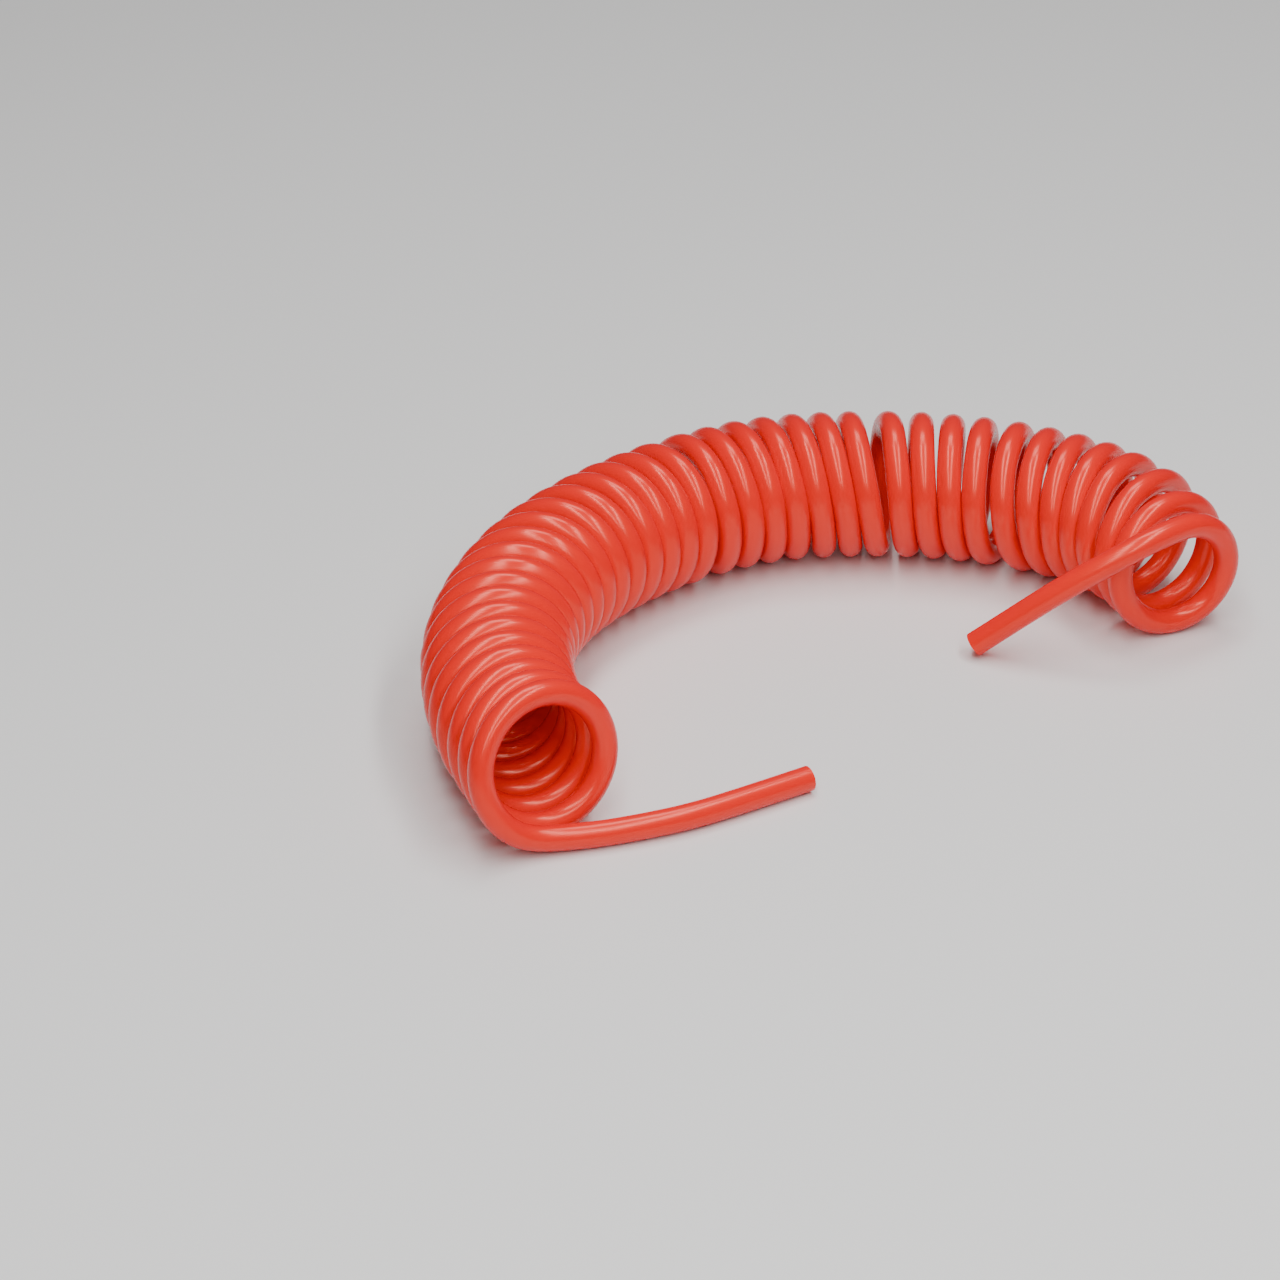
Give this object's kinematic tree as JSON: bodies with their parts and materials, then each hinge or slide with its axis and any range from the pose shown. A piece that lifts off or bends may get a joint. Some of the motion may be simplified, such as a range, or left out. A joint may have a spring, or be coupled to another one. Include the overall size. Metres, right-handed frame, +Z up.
{
  "type": "coiled air hose",
  "caption": "Recoil air hose: a close-wound coil of glossy tube lying in a curve, with a free cut tail at each end to push into fittings.",
  "frame": {"origin": "on the surface the hose lies on, under the middle of its outline", "axes": "+Z up; the coil runs from its front mouth at -X -Y, round the left bend and the back at +Y, to its right mouth at +X"},
  "size_m": [0.2625, 0.2174, 0.048],
  "materials": {
    "polyurethane": "glossy extruded polyurethane, slightly translucent"
  },
  "bodies": {
    "front_mouth_turns": {"front_mouth_turns": "polyurethane"},
    "front_bend_turns": {"front_bend_turns": "polyurethane"},
    "left_bend_turns": {"left_bend_turns": "polyurethane"},
    "left_shoulder_turns": {"left_shoulder_turns": "polyurethane"},
    "middle_turns": {"middle_turns": "polyurethane"},
    "back_turns": {"back_turns": "polyurethane"},
    "gapped_turns": {"gapped_turns": "polyurethane"},
    "right_shoulder_turns": {"right_shoulder_turns": "polyurethane"},
    "right_mouth_turns": {"right_mouth_turns": "polyurethane"},
    "front_tail": {"front_tail": "polyurethane"},
    "right_tail": {"right_tail": "polyurethane"}
  },
  "joints": [
    {"name": "left_shoulder_turns_pull", "type": "slide", "parent": "middle_turns", "child": "left_shoulder_turns", "axis": [-0.8414, -0.5405, 0], "range_m": [0, 0.015], "stiffness_N_per_m": 40},
    {"name": "left_bend_turns_pull", "type": "slide", "parent": "left_shoulder_turns", "child": "left_bend_turns", "axis": [-0.6565, -0.7543, 0], "range_m": [0, 0.015], "stiffness_N_per_m": 40},
    {"name": "front_bend_turns_pull", "type": "slide", "parent": "left_bend_turns", "child": "front_bend_turns", "axis": [-0.2822, -0.9594, 0], "range_m": [0, 0.015], "stiffness_N_per_m": 40},
    {"name": "front_mouth_turns_pull", "type": "slide", "parent": "front_bend_turns", "child": "front_mouth_turns", "axis": [0.1434, -0.9897, 0], "range_m": [0, 0.015], "stiffness_N_per_m": 40},
    {"name": "back_turns_pull", "type": "slide", "parent": "middle_turns", "child": "back_turns", "axis": [0.9891, 0.1473, 0], "range_m": [0, 0.015], "stiffness_N_per_m": 40},
    {"name": "gapped_turns_pull", "type": "slide", "parent": "back_turns", "child": "gapped_turns", "axis": [0.9996, -0.029, 0], "range_m": [0, 0.015], "stiffness_N_per_m": 40},
    {"name": "right_shoulder_turns_pull", "type": "slide", "parent": "gapped_turns", "child": "right_shoulder_turns", "axis": [0.9498, -0.3128, 0], "range_m": [0, 0.015], "stiffness_N_per_m": 40},
    {"name": "right_mouth_turns_pull", "type": "slide", "parent": "right_shoulder_turns", "child": "right_mouth_turns", "axis": [0.613, -0.7901, 0], "range_m": [0, 0.015], "stiffness_N_per_m": 40},
    {"name": "front_tail_bend", "type": "hinge", "parent": "front_mouth_turns", "child": "front_tail", "pos_m": [-0.09075, -0.10201, 0.004], "axis": [0, 0, -1], "range_deg": [0, 35], "stiffness_Nm_per_rad": 0.02},
    {"name": "right_tail_bend", "type": "hinge", "parent": "right_mouth_turns", "child": "right_tail", "pos_m": [0.10738, 0.02161, 0.0424], "axis": [0, 0, 1], "range_deg": [0, 35], "stiffness_Nm_per_rad": 0.02}
  ],
  "couplings": [
    {"joint": "left_shoulder_turns_pull", "follows": "back_turns_pull", "ratio": 1},
    {"joint": "left_bend_turns_pull", "follows": "back_turns_pull", "ratio": 1},
    {"joint": "front_bend_turns_pull", "follows": "back_turns_pull", "ratio": 1},
    {"joint": "front_mouth_turns_pull", "follows": "back_turns_pull", "ratio": 1},
    {"joint": "gapped_turns_pull", "follows": "back_turns_pull", "ratio": 1},
    {"joint": "right_shoulder_turns_pull", "follows": "back_turns_pull", "ratio": 1},
    {"joint": "right_mouth_turns_pull", "follows": "back_turns_pull", "ratio": 1}
  ]
}
